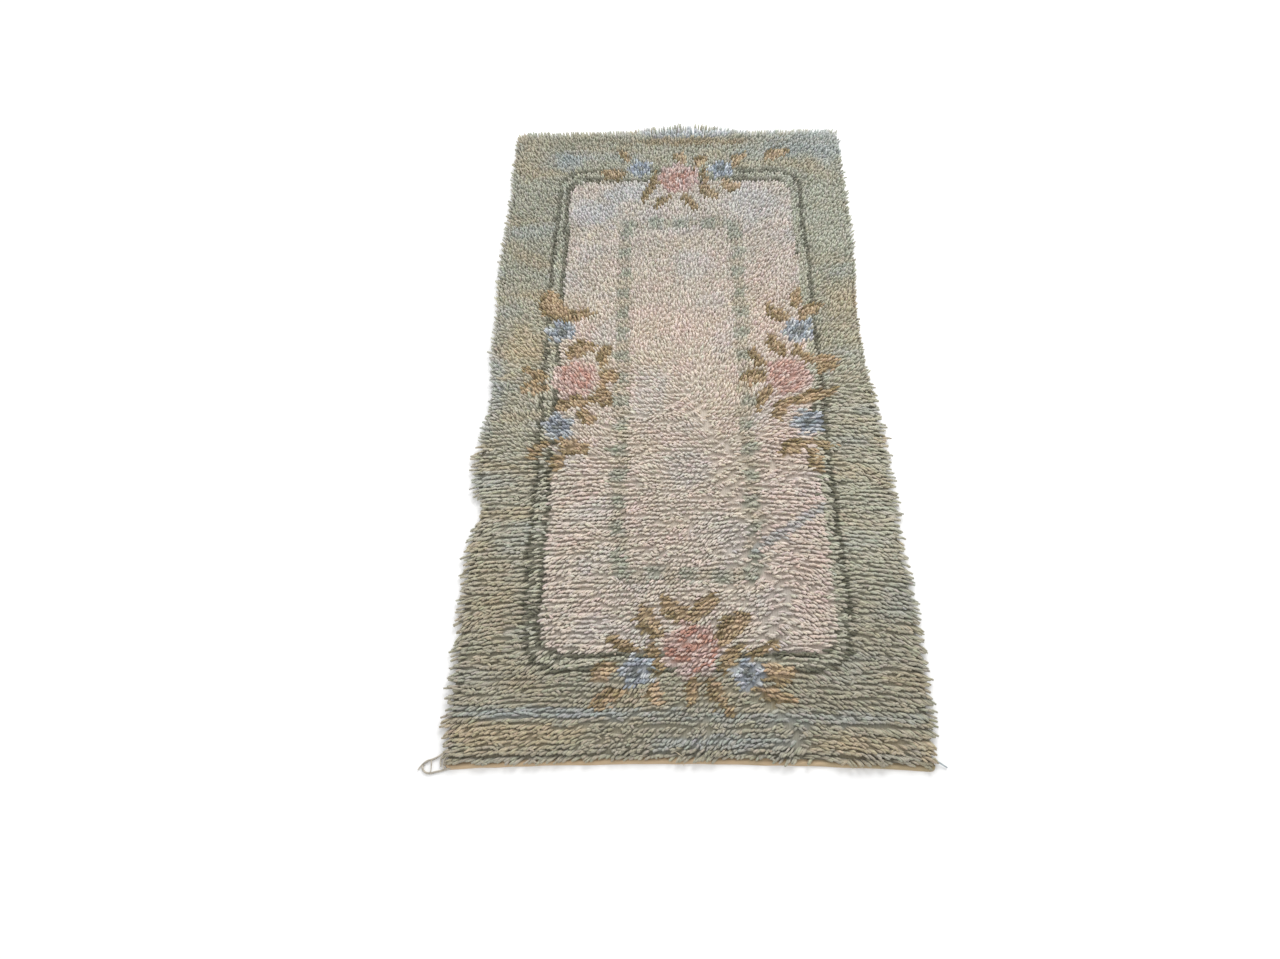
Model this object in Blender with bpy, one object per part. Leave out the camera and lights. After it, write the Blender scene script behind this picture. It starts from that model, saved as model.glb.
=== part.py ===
"""A long-pile wool rug with a floral border, lying flat.

Metres, +Z up. The near end is at -Y and the underside of the canvas is the plane z = 0. The canvas is one
sheet with a rolled hem at its near end. The pile is one lumpy slab on it, with ridges that run across the
rug as the knotted rows do, and with tapered locks at its side and far rims. A pulled yarn end lies as a
loose loop beside the near left corner.
"""
import math
import random
from collections import namedtuple

import bmesh
import bpy
from mathutils import Vector, noise

OBJECT_NAME = "floral_pile_rug"

# The whole rug
HALF_LENGTH = 0.6875        # half of the length from the hem's edge to the far tuft tips
HALF_REACH = 0.366          # half of the width, to the tips of the longest side tufts
HALF_WIDTH = 0.343          # half of the width of the pile's body, without its tufts
GAP = 0.0003                # between pieces that touch

# Canvas
CANVAS_THICK = 0.0020
CANVAS_INSET = 0.006        # the canvas stops this far inside the pile's side and far rims
CANVAS_CELLS_ACROSS = 20
CANVAS_CELLS_ALONG = 24
NEAR_BOW = 0.009            # the near edge curves in by this much at its middle
CORNER_RADIUS = 0.006       # of the two near corners
CORNER_STEPS = 4            # grid lines that round each near corner

HemLine = namedtuple("HemLine", "inset top")
HEM = (
    HemLine(inset=0.0000, top=0.0012),
    HemLine(inset=0.0012, top=0.0034),
    HemLine(inset=0.0034, top=0.0042),
    HemLine(inset=0.0058, top=0.0036),
    HemLine(inset=0.0076, top=0.0020),
)

# Pile body
ROW_PITCH = 0.0077          # one knotted row to the next
ROWS_PER_RIDGE = 3          # each ridge of the slab stands for this many rows
PILE_CELLS_ACROSS = 28
HEM_SHOWS = 0.009           # the pile's near rim stands this far in from the hem's edge
NEAR_RIM_WAVE = 0.003
FAR_TUFTS = 0.010           # the pile's far rim stands this far in from the far tuft tips
PILE_NEAR = 0.0165          # height of the flattened pile at the near end
PILE_FAR = 0.0205           # height of the upright pile at the far end
LUMP_RISE = 0.0040
LUMP_SIZE = 0.085
FLAT_BY = 0.6               # share of the length, from the far end, by which the pile has lain down
VALLEY_FAR = 0.0018         # depth between ridges at the far end
VALLEY_NEAR = 0.0046        # the same in the near half
VALLEY_UNEVEN = 0.7         # how much the depth varies along a valley, as a share of it
PARTING_FROM = 0.4          # valleys shallower than this share have no parting
PARTING_DEPTH = 0.0060      # the deep partings of the last rows at the near end
PARTING_ZONE = 0.085        # how far in from the near rim the partings reach
SIDE_DROOP = 0.0065         # the pile falls by this much at its rims
SIDE_DROOP_WIDTH = 0.035
HUMP_RISE = 0.0075          # the raised middle of the far edge
HUMP_X = 0.030
HUMP_HALF_WIDTH = 0.090
HUMP_LENGTH = 0.060
LEAST_HEIGHT = 0.0075       # the pile's top is nowhere lower than this

# Where the side rims stray from straight, outward positive
Bulge = namedtuple("Bulge", "side y out spread")
BULGES = (
    Bulge(side=-1, y=0.280, out=0.006, spread=0.110),
    Bulge(side=-1, y=-0.030, out=-0.007, spread=0.060),
    Bulge(side=-1, y=-0.180, out=0.005, spread=0.035),
    Bulge(side=-1, y=-0.260, out=-0.012, spread=0.032),
    Bulge(side=1, y=0.120, out=-0.011, spread=0.150),
    Bulge(side=1, y=-0.520, out=0.007, spread=0.180),
)

# Locks at the rims
LOCK_SHORT = 0.005
LOCK_LONG = 0.015
LOCK_CLUMP = 0.030          # tufts about this far apart differ in length
SIDE_TIP_WIDTH = 0.0030
FAR_TIP_WIDTH = 0.0080
TIP_HEIGHT = 0.0030
TIP_LOW = 0.0028            # height of the middle of the lowest tips
TIP_HIGH = 0.0060
NEAR_SWEEP = 0.55           # how far a near tuft leans to the near end, as a share of its length
CLUMP_SHARE = 0.6           # part of a tuft's length that its clump decides; chance decides the rest
TIP_MARGIN = 0.0015         # other tufts stop this far short of the longest ones
BARE_NEAR_LEFT = 0.040      # length of the left rim, from its near end, that is bare beside the loop

LongTuft = namedtuple("LongTuft", "rim place reach")
LONG_TUFTS = (
    LongTuft(rim="left", place=-0.455, reach=HALF_REACH),
    LongTuft(rim="right", place=-0.672, reach=HALF_REACH),
    LongTuft(rim="far", place=0.040, reach=HALF_LENGTH),
)

# The loose loop of yarn, from the pile's near left corner round to the end of the hem
YARN_DIAMETER = 0.0030
YARN_REST = 0.0018          # height of the yarn's centre where it lies on the floor
YARN_POINTS_BETWEEN = 2
LoopPoint = namedtuple("LoopPoint", "x y z")
LOOP_ROUTE = (
    LoopPoint(x=-0.3444, y=-0.6640, z=0.0052),
    LoopPoint(x=-0.3510, y=-0.6672, z=0.0042),
    LoopPoint(x=-0.3575, y=-0.6712, z=0.0028),
    LoopPoint(x=-0.3645, y=-0.6738, z=YARN_REST),
    LoopPoint(x=-0.3715, y=-0.6762, z=YARN_REST),
    LoopPoint(x=-0.3762, y=-0.6815, z=YARN_REST),
    LoopPoint(x=-0.3758, y=-0.6880, z=YARN_REST),
    LoopPoint(x=-0.3705, y=-0.6925, z=YARN_REST),
    LoopPoint(x=-0.3635, y=-0.6930, z=YARN_REST),
    LoopPoint(x=-0.3565, y=-0.6912, z=YARN_REST),
    LoopPoint(x=-0.3492, y=-0.6896, z=YARN_REST),
    LoopPoint(x=-0.3425, y=-0.6876, z=YARN_REST),
    LoopPoint(x=-0.3361, y=-0.6857, z=YARN_REST),
)

SEED = 7


def smooth(t):
    """0 to 1 with flat ends, for t from 0 to 1."""
    t = min(max(t, 0.0), 1.0)
    return t * t * (3.0 - 2.0 * t)


def mix(a, b, t):
    return a + (b - a) * t


def near_share(y):
    """0 at the far end of the rug and 1 at its near end."""
    return (HALF_LENGTH - y) / (2.0 * HALF_LENGTH)


def side_rim(side, y):
    """X of the pile's left (-1) or right (1) rim."""
    out = HALF_WIDTH
    for bulge in BULGES:
        if bulge.side == side:
            out += bulge.out * math.exp(-((y - bulge.y) / bulge.spread) ** 2)
    return side * out


def near_line(x):
    """Y of the line of the hem's edge, bowed in at the middle of the rug."""
    straight_from = HALF_WIDTH - CANVAS_INSET - CORNER_RADIUS
    return -HALF_LENGTH + NEAR_BOW * max(1.0 - (x / straight_from) ** 2, 0.0)


def corner_cut(x):
    """How far the round of a near corner lifts the hem's edge off that line."""
    past = abs(x) - (HALF_WIDTH - CANVAS_INSET - CORNER_RADIUS)
    past = min(max(past, 0.0), CORNER_RADIUS)
    return CORNER_RADIUS - math.sqrt(CORNER_RADIUS ** 2 - past ** 2)


def material(name, colour, roughness):
    mat = bpy.data.materials.new(name)
    mat.use_nodes = True
    shader = mat.node_tree.nodes["Principled BSDF"]
    shader.inputs["Base Color"].default_value = (*colour, 1.0)
    shader.inputs["Roughness"].default_value = roughness
    shader.inputs["Metallic"].default_value = 0.0
    return mat


def raised_sheet(columns, lines, place, top, bottom):
    """A closed slab over a grid of cells. place(i, j) gives a grid point's x and y, top(x, y, j) its height,
    and the underside is one flat face at bottom. Returns the bmesh and its wall faces."""
    bm = bmesh.new()
    bmesh.ops.create_grid(bm, x_segments=columns, y_segments=lines, size=1.0)
    for vert in bm.verts:
        i = round((vert.co.x + 1.0) / 2.0 * columns)
        j = round((vert.co.y + 1.0) / 2.0 * lines)
        x, y = place(i, j)
        vert.co = (x, y, top(x, y, j))
    rim = [edge for edge in bm.edges if edge.is_boundary]
    made = bmesh.ops.extrude_edge_only(bm, edges=rim)["geom"]
    for vert in made:
        if isinstance(vert, bmesh.types.BMVert):
            vert.co.z = bottom
    walls = [face for face in made if isinstance(face, bmesh.types.BMFace)]
    bmesh.ops.holes_fill(bm, edges=[edge for edge in bm.edges if edge.is_boundary], sides=0)
    bmesh.ops.recalc_face_normals(bm, faces=bm.faces)
    return bm, walls


def finish_mesh(bm, name, mat, collection, sharp_degrees):
    mesh = bpy.data.meshes.new(name)
    bm.to_mesh(mesh)
    bm.free()
    mesh.materials.append(mat)
    mesh.shade_smooth()
    mesh.set_sharp_from_angle(angle=math.radians(sharp_degrees))
    obj = bpy.data.objects.new(name, mesh)
    collection.objects.link(obj)
    return obj


def build_canvas(collection):
    """The woven ground: one thin sheet, rolled into a low round hem along its near edge."""
    half = HALF_WIDTH - CANVAS_INSET
    inner = half - CORNER_RADIUS
    corner = [inner + CORNER_RADIUS * math.sin(math.radians(90.0) * k / CORNER_STEPS)
              for k in range(1, CORNER_STEPS + 1)]
    middle = [mix(-inner, inner, k / CANVAS_CELLS_ACROSS) for k in range(CANVAS_CELLS_ACROSS + 1)]
    across = [-x for x in reversed(corner)] + middle + corner
    far = HALF_LENGTH - FAR_TUFTS - CANVAS_INSET
    hem_cells = len(HEM) - 1

    def place(i, j):
        x = across[i]
        flat_from = near_line(x) + HEM[-1].inset
        if j < hem_cells:
            return x, mix(near_line(x) + corner_cut(x), flat_from, HEM[j].inset / HEM[-1].inset)
        along = (j - hem_cells) / CANVAS_CELLS_ALONG
        y = mix(flat_from, far, along)
        under_pile = (abs(side_rim(math.copysign(1.0, x), y)) - CANVAS_INSET) / half
        return x * mix(1.0, under_pile, smooth(along * CANVAS_CELLS_ALONG)), y

    def top(x, y, j):
        return HEM[min(j, hem_cells)].top

    bm, _ = raised_sheet(len(across) - 1, hem_cells + CANVAS_CELLS_ALONG, place, top, 0.0)
    mat = material("canvas_cotton", (0.62, 0.47, 0.33), 0.90)
    return finish_mesh(bm, "ground_canvas", mat, collection, 50.0)


def pile_lines():
    """Number of grid lines along the pile: two for each ridge."""
    length = 2.0 * HALF_LENGTH - HEM_SHOWS - FAR_TUFTS
    return 2 * round(length / (ROW_PITCH * ROWS_PER_RIDGE))


def pile_place(i, j):
    """X and y of one grid point of the pile's top."""
    across = i / PILE_CELLS_ACROSS
    along = j / pile_lines()
    y = mix(-HALF_LENGTH + HEM_SHOWS, HALF_LENGTH - FAR_TUFTS, along)
    x = mix(side_rim(-1, y), side_rim(1, y), across)
    near_bow = near_line(x) + HALF_LENGTH
    near_bow += NEAR_RIM_WAVE * abs(noise.noise(Vector((x / LUMP_SIZE, 0.0, 0.0))))
    return x, y + near_bow * (1.0 - along) ** 2


def pile_top(x, y, j):
    """Height of the pile's top: upright and tall at the far end, flattened into ridges at the near end."""
    lain = smooth(near_share(y) / FLAT_BY)
    from_near = y + HALF_LENGTH - HEM_SHOWS
    from_far = HALF_LENGTH - FAR_TUFTS - y
    from_side = abs(side_rim(-1 if x < 0.0 else 1, y) - x)
    height = mix(PILE_FAR, PILE_NEAR, lain) + LUMP_RISE * noise.noise(Vector((x, y, 0.0)) / LUMP_SIZE)
    if j % 2:
        depth = 1.0 + VALLEY_UNEVEN * noise.noise(Vector((x / LUMP_SIZE, y / ROW_PITCH, 0.5)))
        height -= mix(VALLEY_FAR, VALLEY_NEAR, lain) * depth
        height -= PARTING_DEPTH * (1.0 - smooth(from_near / PARTING_ZONE)) * max(depth - PARTING_FROM, 0.0)
    from_rim = min(from_side, from_far + SIDE_DROOP_WIDTH / 2.0, from_near + SIDE_DROOP_WIDTH / 3.0)
    height -= SIDE_DROOP * (1.0 - smooth(from_rim / SIDE_DROOP_WIDTH))
    across_hump = math.exp(-((x - HUMP_X) / HUMP_HALF_WIDTH) ** 2)
    height += HUMP_RISE * across_hump * (1.0 - smooth(from_far / HUMP_LENGTH))
    return max(height, LEAST_HEIGHT)


def rim_of(face):
    """Which rim a wall face belongs to, its outward sign along that axis, and its place along the rim."""
    centre = face.calc_center_median()
    normal = face.normal
    if abs(normal.x) > abs(normal.y):
        return ("right", 0, 1.0, centre.y) if normal.x > 0.0 else ("left", 0, -1.0, centre.y)
    return ("far", 1, 1.0, centre.x) if normal.y > 0.0 else ("near", 1, -1.0, centre.x)


def add_locks(bm, walls):
    """Draws each wall face of the left, right and far rims out into one tapered, drooping lock."""
    rng = random.Random(SEED)
    bare_to = -HALF_LENGTH + HEM_SHOWS + BARE_NEAR_LEFT
    rooted = []
    for face in walls:
        rim, axis, sign, place = rim_of(face)
        if rim == "near" or (rim == "left" and place < bare_to):
            continue
        rooted.append((rim, axis, sign, place, face))
    rooted.sort(key=lambda row: row[:4])
    longest = {}
    for tuft in LONG_TUFTS:
        mine = [row for row in rooted if row[0] == tuft.rim]
        longest[min(mine, key=lambda row: abs(row[3] - tuft.place))[4]] = tuft.reach
    for rim, axis, sign, place, face in rooted:
        limit = (HALF_LENGTH if rim == "far" else HALF_REACH) - TIP_MARGIN
        root = abs(face.calc_center_median()[axis])
        clump = 0.5 + noise.noise(Vector((place / LOCK_CLUMP, sign, axis)))
        share = min(max(mix(rng.random(), clump, CLUMP_SHARE), 0.0), 1.0)
        reach = min(root + mix(LOCK_SHORT, LOCK_LONG, share), limit)
        reach = longest.get(face, reach)
        length = reach - root
        sweep = 0.0 if rim == "far" else -NEAR_SWEEP * length * smooth(near_share(place) / FLAT_BY)
        width = FAR_TIP_WIDTH if rim == "far" else SIDE_TIP_WIDTH
        height = mix(TIP_LOW, TIP_HIGH, rng.random())
        draw_out(bm, face, axis, sign * reach, place + sweep, height, width)


def draw_out(bm, face, axis, reach, place, height, width):
    """Extrudes one wall face to a small square tip at the given reach, place along the rim and height."""
    middle = face.calc_center_median()
    drawn = bmesh.ops.extrude_discrete_faces(bm, faces=[face])["faces"][0]
    other = 1 - axis
    for vert in drawn.verts:
        along = 1.0 if vert.co[other] > middle[other] else -1.0
        upward = 1.0 if vert.co.z > middle.z else -1.0
        vert.co[axis] = reach
        vert.co[other] = place + along * width / 2.0
        vert.co.z = height + upward * TIP_HEIGHT / 2.0


def build_pile(collection):
    """The wool pile: a lumpy slab that follows the rows, with a lock at every step of three of its rims."""
    base = CANVAS_THICK + GAP
    bm, walls = raised_sheet(PILE_CELLS_ACROSS, pile_lines(), pile_place, pile_top, base)
    add_locks(bm, walls)
    bmesh.ops.recalc_face_normals(bm, faces=bm.faces)
    mat = material("pile_wool", (0.52, 0.49, 0.36), 0.95)
    return finish_mesh(bm, "pile", mat, collection, 70.0)


def smooth_route(points, between):
    """Points on one smooth curve through the route's own points, with more added between each pair."""
    ends = [2.0 * points[0] - points[1]] + points + [2.0 * points[-1] - points[-2]]
    curve = []
    for before, a, b, after in zip(ends, ends[1:], ends[2:], ends[3:]):
        for step in range(between):
            t = step / between
            bend = 2.0 * before - 5.0 * a + 4.0 * b - after
            twist = 3.0 * a - before - 3.0 * b + after
            curve.append(0.5 * (2.0 * a + (b - before) * t + bend * t ** 2 + twist * t ** 3))
    return curve + [points[-1]]


def build_loop(collection):
    """The pulled yarn end, a loose round loop that lies on the floor by the near left corner."""
    route = smooth_route([Vector(point) for point in LOOP_ROUTE], YARN_POINTS_BETWEEN)
    curve = bpy.data.curves.new("corner_loop", "CURVE")
    curve.dimensions = "3D"
    curve.bevel_depth = YARN_DIAMETER / 2.0
    curve.bevel_resolution = 2
    curve.use_fill_caps = True
    spline = curve.splines.new("POLY")
    spline.points.add(len(route) - 1)
    for point, spot in zip(spline.points, route):
        point.co = (*spot, 1.0)
    curve.materials.append(material("loop_wool", (0.52, 0.50, 0.40), 0.95))
    obj = bpy.data.objects.new("corner_loop", curve)
    collection.objects.link(obj)
    return obj


def main():
    for obj in list(bpy.data.objects):
        bpy.data.objects.remove(obj, do_unlink=True)
    collection = bpy.data.collections.new(OBJECT_NAME)
    bpy.context.scene.collection.children.link(collection)
    build_canvas(collection)
    build_pile(collection)
    build_loop(collection)


main()
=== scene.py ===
import math
from collections import namedtuple

import bpy
import numpy as np
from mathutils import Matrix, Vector


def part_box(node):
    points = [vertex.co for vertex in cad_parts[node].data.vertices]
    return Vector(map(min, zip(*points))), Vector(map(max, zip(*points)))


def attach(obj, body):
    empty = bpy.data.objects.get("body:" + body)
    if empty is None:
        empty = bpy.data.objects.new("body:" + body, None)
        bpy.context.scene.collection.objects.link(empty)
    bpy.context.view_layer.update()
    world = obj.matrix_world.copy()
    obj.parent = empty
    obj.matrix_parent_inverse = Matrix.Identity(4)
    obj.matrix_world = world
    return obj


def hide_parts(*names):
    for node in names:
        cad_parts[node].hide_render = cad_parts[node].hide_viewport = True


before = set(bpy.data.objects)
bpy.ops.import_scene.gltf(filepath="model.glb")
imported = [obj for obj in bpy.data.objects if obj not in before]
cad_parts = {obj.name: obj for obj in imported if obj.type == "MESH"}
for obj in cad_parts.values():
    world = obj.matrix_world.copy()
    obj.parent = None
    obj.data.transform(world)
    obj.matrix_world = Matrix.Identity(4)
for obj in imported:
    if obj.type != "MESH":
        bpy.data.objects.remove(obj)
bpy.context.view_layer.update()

# The rug, from the frame. Y runs from the hemmed near end to the far end.
PILE_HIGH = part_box("pile")[1]
CANVAS_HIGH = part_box("ground_canvas")[1]
HALF_LENGTH = PILE_HIGH[1]
HALF_WIDTH = PILE_HIGH[0] - 0.023    # the pile's body, inside its side tufts
HALF_CANVAS = CANVAS_HIGH[0]
CANVAS_TOP = 0.0020
HEM_SHOWS = 0.009
FAR_TUFTS = 0.010
NEAR_BOW = 0.009
CORNER_RADIUS = 0.006

# Knots
ROW_PITCH = 0.0077
KNOT_PITCH = 0.0077
KNOTS = round(2.0 * HALF_WIDTH / KNOT_PITCH)
ROWS = round((2.0 * HALF_LENGTH - HEM_SHOWS - FAR_TUFTS) / ROW_PITCH)
ENDS = 2
YARN_RADIUS = 0.0020

# Where the side rims stray from straight, outward positive, as in the solids
Bulge = namedtuple("Bulge", "side y out spread")
BULGES = (
    Bulge(side=-1, y=0.280, out=0.006, spread=0.110),
    Bulge(side=-1, y=-0.030, out=-0.007, spread=0.060),
    Bulge(side=-1, y=-0.180, out=0.005, spread=0.035),
    Bulge(side=-1, y=-0.260, out=-0.012, spread=0.032),
    Bulge(side=1, y=0.120, out=-0.011, spread=0.150),
    Bulge(side=1, y=-0.520, out=0.007, spread=0.180),
)

# Camera, where the photo was taken from
CAMERA_PLACE = (-0.0314, -1.0530, 1.3569)
CAMERA_TURN = (32.156, 1.315, 0.593)
CAMERA_LENS = 26.64
SENSOR = 36.0

# Yarn colours, sRGB 0 to 255
SAGE = (192, 188, 168)
NEAR_SAGE = (168, 159, 134)
GOLDEN = (200, 182, 148)
BLUE_GREY = (178, 188, 192)
PALE_SAGE = (204, 202, 182)
CREAM = (224, 212, 197)
CREAM_PINK = (231, 212, 200)
CREAM_COOL = (216, 214, 212)
CREAM_GOLD = (226, 212, 190)
GREEN = (104, 102, 82)
BEAD_GREEN = (178, 180, 162)
BEAD_OLIVE = (194, 184, 160)
LEAF = (172, 148, 108)
LEAF_LIGHT = (210, 184, 150)
LEAF_DARK = (134, 117, 76)
BLUE = (171, 178, 187)
BLUE_LIGHT = (212, 215, 216)
BLUE_DARK = (118, 126, 132)
BLUE_HEART = (122, 124, 114)
HUMP_PALE = (206, 208, 208)
ROSE_PALE = (220, 200, 190)
ROSE = (216, 184, 172)
CORAL = (200, 148, 128)
CANVAS_TONE = (202, 177, 144)
HEM_OLIVE = (170, 156, 124)
CREAM_THREAD = (232, 218, 190)
LOOP_TONE = (186, 178, 164)

# How much darker the far end is made, in red, green and blue, and the near end
FAR_DARKER = (0.15, 0.11, 0.07)
NEAR_DARKER = 0.10


def srgb(colour):
    """An sRGB colour from 0 to 255 as linear values."""
    c = np.array(colour, float) / 255.0
    return np.where(c <= 0.04045, c / 12.92, ((c + 0.055) / 1.055) ** 2.4)


def smooth(t):
    t = np.clip(t, 0.0, 1.0)
    return t * t * (3.0 - 2.0 * t)


def mix(a, b, t):
    return a + (b - a) * t


def drift(x, y, size, seed, waves=8):
    """Smooth seeded noise, mostly from -1 to 1, with forms about size metres across."""
    rng = np.random.default_rng(seed)
    total = np.zeros(np.broadcast(x, y).shape)
    for _ in range(waves):
        turn, phase = rng.uniform(0.0, 2.0 * math.pi, 2)
        pace = math.pi / size * rng.uniform(0.5, 1.5)
        total += np.sin(pace * (x * math.cos(turn) + y * math.sin(turn)) + phase)
    return total / math.sqrt(waves / 2.0) / 1.4


def side_rim(side, y):
    """How far out the pile's left (-1) or right (1) rim stands, as in the solids."""
    out = np.full(np.shape(y), HALF_WIDTH)
    for bulge in BULGES:
        out += np.where(side == bulge.side, bulge.out * np.exp(-((y - bulge.y) / bulge.spread) ** 2), 0.0)
    return out


def near_line(x):
    """Y of the hem's edge, bowed in at the middle."""
    straight_from = HALF_CANVAS - CORNER_RADIUS
    return -HALF_LENGTH + NEAR_BOW * np.maximum(1.0 - (x / straight_from) ** 2, 0.0)


# The design. Places are in metres on the rug, as seen from above its near end.

Frame = namedtuple("Frame", "x y half_x half_y radius")
PANEL = Frame(x=0.006, y=0.010, half_x=0.227, half_y=0.524, radius=0.034)
INNER_LINE = Frame(x=0.0015, y=0.012, half_x=0.2285, half_y=0.529, radius=0.038)
OUTER_LINE = Frame(x=0.003, y=0.0115, half_x=0.2505, half_y=0.5545, radius=0.056)
BEADS = Frame(x=0.0044, y=0.0128, half_x=0.111, half_y=0.396, radius=0.020)
LINE_HALF = 0.0043
BEAD_HALF = 0.0150
BEAD_PITCH = 0.052

# A bouquet is a rose, two blue flowers beside it and leaves around them
Rose = namedtuple("Rose", "x y radius heart_x heart_y turn coral")
ROSES = (
    Rose(x=0.002, y=0.545, radius=0.048, heart_x=0.000, heart_y=-0.006, turn=0.3, coral=0.80),
    Rose(x=-0.192, y=0.012, radius=0.046, heart_x=0.012, heart_y=0.002, turn=1.1, coral=0.60),
    Rose(x=0.196, y=0.0155, radius=0.045, heart_x=-0.006, heart_y=0.000, turn=2.0, coral=0.45),
    Rose(x=0.0084, y=-0.509, radius=0.048, heart_x=0.0025, heart_y=0.018, turn=0.0, coral=0.90),
)
Bloom = namedtuple("Bloom", "x y radius")
BLOOMS = (
    Bloom(x=-0.079, y=0.576, radius=0.029),
    Bloom(x=0.091, y=0.571, radius=0.029),
    Bloom(x=-0.2225, y=0.125, radius=0.029),
    Bloom(x=-0.2167, y=-0.094, radius=0.030),
    Bloom(x=0.220, y=0.122, radius=0.031),
    Bloom(x=0.223, y=-0.088, radius=0.031),
    Bloom(x=-0.075, y=-0.544, radius=0.028),
    Bloom(x=0.0945, y=-0.548, radius=0.029),
)
Leaf = namedtuple("Leaf", "x y length width turn tone")
LEAF_LONGER = 1.08      # all leaves are this much longer and wider than in the table
LEAF_WIDER = 1.16
LEAVES = (
    # top bouquet
    Leaf(x=-0.111, y=0.614, length=0.040, width=0.014, turn=120, tone=0.3),
    Leaf(x=-0.134, y=0.558, length=0.050, width=0.030, turn=175, tone=0.3),
    Leaf(x=-0.059, y=0.506, length=0.070, width=0.016, turn=65, tone=0.1),
    Leaf(x=-0.032, y=0.472, length=0.052, width=0.016, turn=50, tone=0.1),
    Leaf(x=0.024, y=0.472, length=0.052, width=0.016, turn=125, tone=0.1),
    Leaf(x=0.009, y=0.610, length=0.034, width=0.022, turn=95, tone=0.7),
    Leaf(x=0.0485, y=0.594, length=0.042, width=0.022, turn=70, tone=0.6),
    Leaf(x=0.058, y=0.552, length=0.044, width=0.014, turn=95, tone=0.2),
    Leaf(x=-0.048, y=0.552, length=0.044, width=0.012, turn=85, tone=0.2),
    Leaf(x=0.065, y=0.506, length=0.060, width=0.024, turn=120, tone=0.1),
    Leaf(x=0.110, y=0.519, length=0.044, width=0.026, turn=150, tone=1.0),
    Leaf(x=0.130, y=0.6005, length=0.054, width=0.022, turn=55, tone=0.6),
    Leaf(x=0.211, y=0.617, length=0.060, width=0.026, turn=30, tone=0.7),
    # left bouquet
    Leaf(x=-0.240, y=0.188, length=0.078, width=0.042, turn=120, tone=0.6),
    Leaf(x=-0.190, y=0.162, length=0.050, width=0.026, turn=20, tone=0.3),
    Leaf(x=-0.184, y=0.079, length=0.058, width=0.030, turn=30, tone=0.2),
    Leaf(x=-0.140, y=0.0645, length=0.056, width=0.018, turn=75, tone=0.2),
    Leaf(x=-0.131, y=0.014, length=0.040, width=0.030, turn=0, tone=0.5),
    Leaf(x=-0.139, y=-0.030, length=0.048, width=0.026, turn=115, tone=0.2),
    Leaf(x=-0.190, y=-0.042, length=0.070, width=0.028, turn=15, tone=0.2),
    Leaf(x=-0.167, y=-0.074, length=0.042, width=0.022, turn=135, tone=0.2),
    Leaf(x=-0.264, y=0.026, length=0.052, width=0.016, turn=150, tone=0.3),
    Leaf(x=-0.264, y=0.005, length=0.052, width=0.016, turn=25, tone=0.3),
    Leaf(x=-0.258, y=-0.013, length=0.050, width=0.014, turn=10, tone=0.9),
    Leaf(x=-0.190, y=-0.134, length=0.058, width=0.030, turn=160, tone=0.4),
    Leaf(x=-0.249, y=-0.1425, length=0.048, width=0.018, turn=50, tone=0.5),
    Leaf(x=-0.214, y=-0.169, length=0.036, width=0.018, turn=80, tone=0.3),
    # right bouquet
    Leaf(x=0.2215, y=0.204, length=0.048, width=0.022, turn=80, tone=0.3),
    Leaf(x=0.184, y=0.167, length=0.048, width=0.026, turn=140, tone=0.2),
    Leaf(x=0.247, y=0.173, length=0.052, width=0.025, turn=38, tone=0.4),
    Leaf(x=0.1775, y=0.088, length=0.052, width=0.022, turn=125, tone=0.2),
    Leaf(x=0.141, y=0.061, length=0.048, width=0.018, turn=120, tone=0.2),
    Leaf(x=0.220, y=0.073, length=0.038, width=0.018, turn=120, tone=0.3),
    Leaf(x=0.256, y=0.052, length=0.070, width=0.022, turn=175, tone=0.3),
    Leaf(x=0.2655, y=0.034, length=0.048, width=0.014, turn=35, tone=0.3),
    Leaf(x=0.132, y=0.012, length=0.050, width=0.026, turn=5, tone=0.4),
    Leaf(x=0.147, y=-0.030, length=0.060, width=0.018, turn=65, tone=0.2),
    Leaf(x=0.238, y=-0.030, length=0.080, width=0.024, turn=18, tone=0.2),
    Leaf(x=0.1775, y=-0.058, length=0.052, width=0.024, turn=60, tone=0.3),
    Leaf(x=0.193, y=-0.140, length=0.052, width=0.026, turn=32, tone=0.3),
    Leaf(x=0.241, y=-0.134, length=0.038, width=0.016, turn=160, tone=0.4),
    Leaf(x=0.229, y=-0.167, length=0.048, width=0.020, turn=105, tone=0.4),
    # bottom bouquet
    Leaf(x=-0.015, y=-0.444, length=0.060, width=0.026, turn=145, tone=0.2),
    Leaf(x=0.032, y=-0.439, length=0.056, width=0.022, turn=50, tone=0.2),
    Leaf(x=-0.054, y=-0.465, length=0.060, width=0.028, turn=125, tone=0.3),
    Leaf(x=0.0735, y=-0.474, length=0.070, width=0.030, turn=45, tone=0.4),
    Leaf(x=-0.096, y=-0.502, length=0.054, width=0.016, turn=155, tone=0.2),
    Leaf(x=0.120, y=-0.509, length=0.060, width=0.016, turn=30, tone=0.2),
    Leaf(x=-0.046, y=-0.521, length=0.052, width=0.018, turn=105, tone=0.2),
    Leaf(x=0.0665, y=-0.5255, length=0.056, width=0.018, turn=65, tone=0.2),
    Leaf(x=-0.1215, y=-0.544, length=0.048, width=0.026, turn=25, tone=0.8),
    Leaf(x=0.143, y=-0.5465, length=0.052, width=0.030, turn=175, tone=1.0),
    Leaf(x=-0.1145, y=-0.586, length=0.056, width=0.020, turn=35, tone=0.4),
    Leaf(x=-0.047, y=-0.581, length=0.034, width=0.018, turn=100, tone=1.0),
    Leaf(x=0.0084, y=-0.572, length=0.044, width=0.020, turn=80, tone=0.4),
    Leaf(x=0.048, y=-0.581, length=0.070, width=0.020, turn=120, tone=0.5),
    Leaf(x=0.134, y=-0.581, length=0.062, width=0.020, turn=160, tone=0.6),
)

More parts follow.
